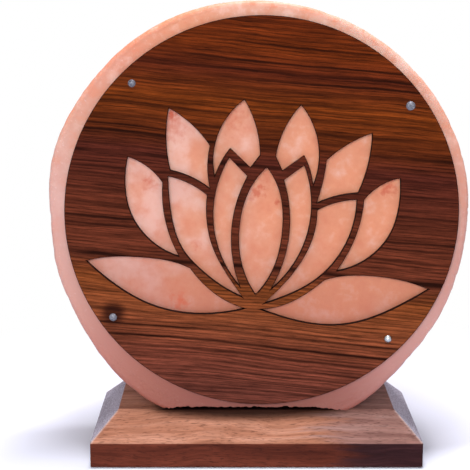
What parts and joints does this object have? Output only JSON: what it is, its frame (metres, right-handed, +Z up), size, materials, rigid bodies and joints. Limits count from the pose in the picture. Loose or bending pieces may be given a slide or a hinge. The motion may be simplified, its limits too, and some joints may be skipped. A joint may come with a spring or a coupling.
{
  "type": "salt crystal lamp",
  "caption": "Table lamp: a round rock-salt slab behind a pierced wooden lotus panel, on a bevelled wooden base, with a bulb in a holder pushed up from below.",
  "frame": {"origin": "on the table under the middle of the base", "axes": "+X to the viewer's right, +Y away from the viewer, +Z up"},
  "size_m": [0.2237, 0.09, 0.2501],
  "materials": {
    "rock_salt": "polished front face, rough hewn rim and back",
    "panel_wood": "straight-grained dark hardwood, laser-cut edges, satin oil",
    "base_wood": "dark hardwood, sanded and waxed",
    "rubber": "moulded, matt",
    "steel": "zinc plated",
    "spring_steel": "rolled spring strip",
    "nylon": "moulded, natural",
    "black_moulding": "moulded, satin",
    "porcelain": "glazed",
    "brass": "rolled and drawn",
    "bulb_glass": "clear blown glass",
    "stem_glass": "pressed glass",
    "bulb_cap_metal": "rolled thread, bright",
    "black_glass": "cast, glossy",
    "solder": "solder, dull",
    "tungsten": "drawn wire"
  },
  "bodies": {
    "lamp_body": {"wood_base": "base_wood", "base_feet": "rubber", "salt_slab": "rock_salt", "slab_screws": "steel", "slab_screw_washers": "steel", "slab_screw_plugs": "nylon", "lotus_panel": "panel_wood", "panel_screws": "steel", "panel_screw_plugs": "nylon"},
    "holder": {"holder_shell": "black_moulding", "holder_lower_cap": "black_moulding", "holder_cap_screws": "steel", "cord_bush": "rubber", "socket_core": "porcelain", "contact_shell": "brass", "shell_terminal": "brass", "centre_contact": "brass", "terminal_screws": "brass", "spring_collar": "spring_steel", "collar_rivets": "steel"},
    "wing_left": {"spring_wing_left": "spring_steel"},
    "wing_right": {"spring_wing_right": "spring_steel"},
    "bulb": {"bulb_glass": "bulb_glass", "bulb_cap": "bulb_cap_metal", "bulb_insulator": "black_glass", "bulb_tip": "solder", "bulb_stem": "stem_glass", "bulb_leads": "steel", "bulb_filament": "tungsten"}
  },
  "joints": [
    {"name": "holder_slide", "type": "slide", "parent": "lamp_body", "child": "holder", "axis": [0, 0, -1], "range_m": [0, 0.085]},
    {"name": "bulb_turn", "type": "hinge", "parent": "holder", "child": "bulb", "pos_m": [0, 0, 0.04], "axis": [0, 0, 1], "range_deg": [0, 1080]},
    {"name": "wing_left_flex", "type": "hinge", "parent": "holder", "child": "wing_left", "pos_m": [-0.01383, 0, 0.0375], "axis": [0, -1, 0], "range_deg": [0, 7], "stiffness_Nm_per_rad": 0.05},
    {"name": "wing_right_flex", "type": "hinge", "parent": "holder", "child": "wing_right", "pos_m": [0.01383, 0, 0.0375], "axis": [0, 1, 0], "range_deg": [0, 7], "stiffness_Nm_per_rad": 0.05}
  ]
}
